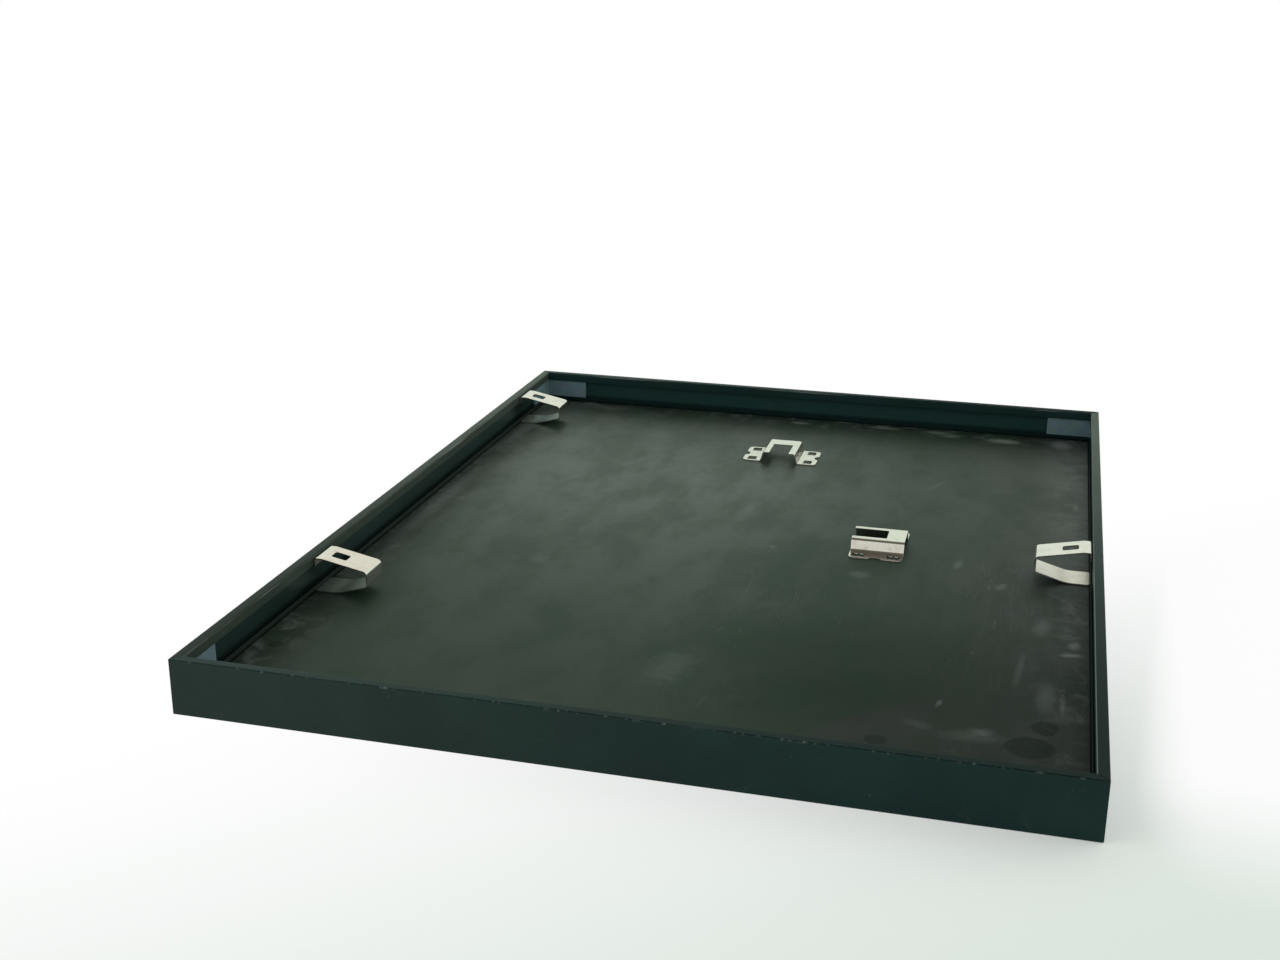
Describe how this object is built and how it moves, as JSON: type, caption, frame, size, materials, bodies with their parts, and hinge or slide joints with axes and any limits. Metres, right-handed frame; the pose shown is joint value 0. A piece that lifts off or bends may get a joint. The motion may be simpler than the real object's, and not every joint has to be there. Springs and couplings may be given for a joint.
{
  "type": "picture frame",
  "caption": "Slim black metal picture frame with mitred rails, clear glazing, dark hardboard back, spring clips on the side rails and slotted hangers for portrait or landscape.",
  "frame": {"origin": "middle of the front face's plane, below the centre of the frame, which lies on its face with the back upwards", "axes": "+Y towards the top edge in portrait hanging, +Z from the front face to the wall side, +X to the right when the back is seen with +Y upwards"},
  "size_m": [0.312, 0.412, 0.021],
  "materials": {
    "black_frame": "black anodised, satin",
    "zinc_steel": "blue-grey zinc",
    "glazing": "clear",
    "paper": "plain uncoated sheet",
    "hardboard": "dark smooth hardboard",
    "spring_steel": "bright rolled strip",
    "hanger_steel": "zinc-plated stamping"
  },
  "bodies": {
    "frame": {"rail_bottom": "black_frame", "rail_top": "black_frame", "rail_left": "black_frame", "rail_right": "black_frame", "bracket_bottom_left": "zinc_steel", "bracket_bottom_right": "zinc_steel", "bracket_top_left": "zinc_steel", "bracket_top_right": "zinc_steel", "glazing": "glazing", "picture_sheet": "paper", "back_board": "hardboard", "hanger_portrait": "hanger_steel", "hanger_landscape": "hanger_steel"},
    "clip_left_lower_body": {"clip_left_lower": "spring_steel"},
    "clip_left_upper_body": {"clip_left_upper": "spring_steel"},
    "clip_right_body": {"clip_right": "spring_steel"}
  },
  "joints": [
    {"name": "clip_left_lower_slide", "type": "slide", "parent": "frame", "child": "clip_left_lower_body", "axis": [0, 1, 0], "range_m": [-0.0766, 0.1191]},
    {"name": "clip_left_upper_slide", "type": "slide", "parent": "frame", "child": "clip_left_upper_body", "axis": [0, 1, 0], "range_m": [-0.1191, 0.0144]},
    {"name": "clip_right_slide", "type": "slide", "parent": "frame", "child": "clip_right_body", "axis": [0, 1, 0], "range_m": [-0.1687, 0.1757]}
  ]
}
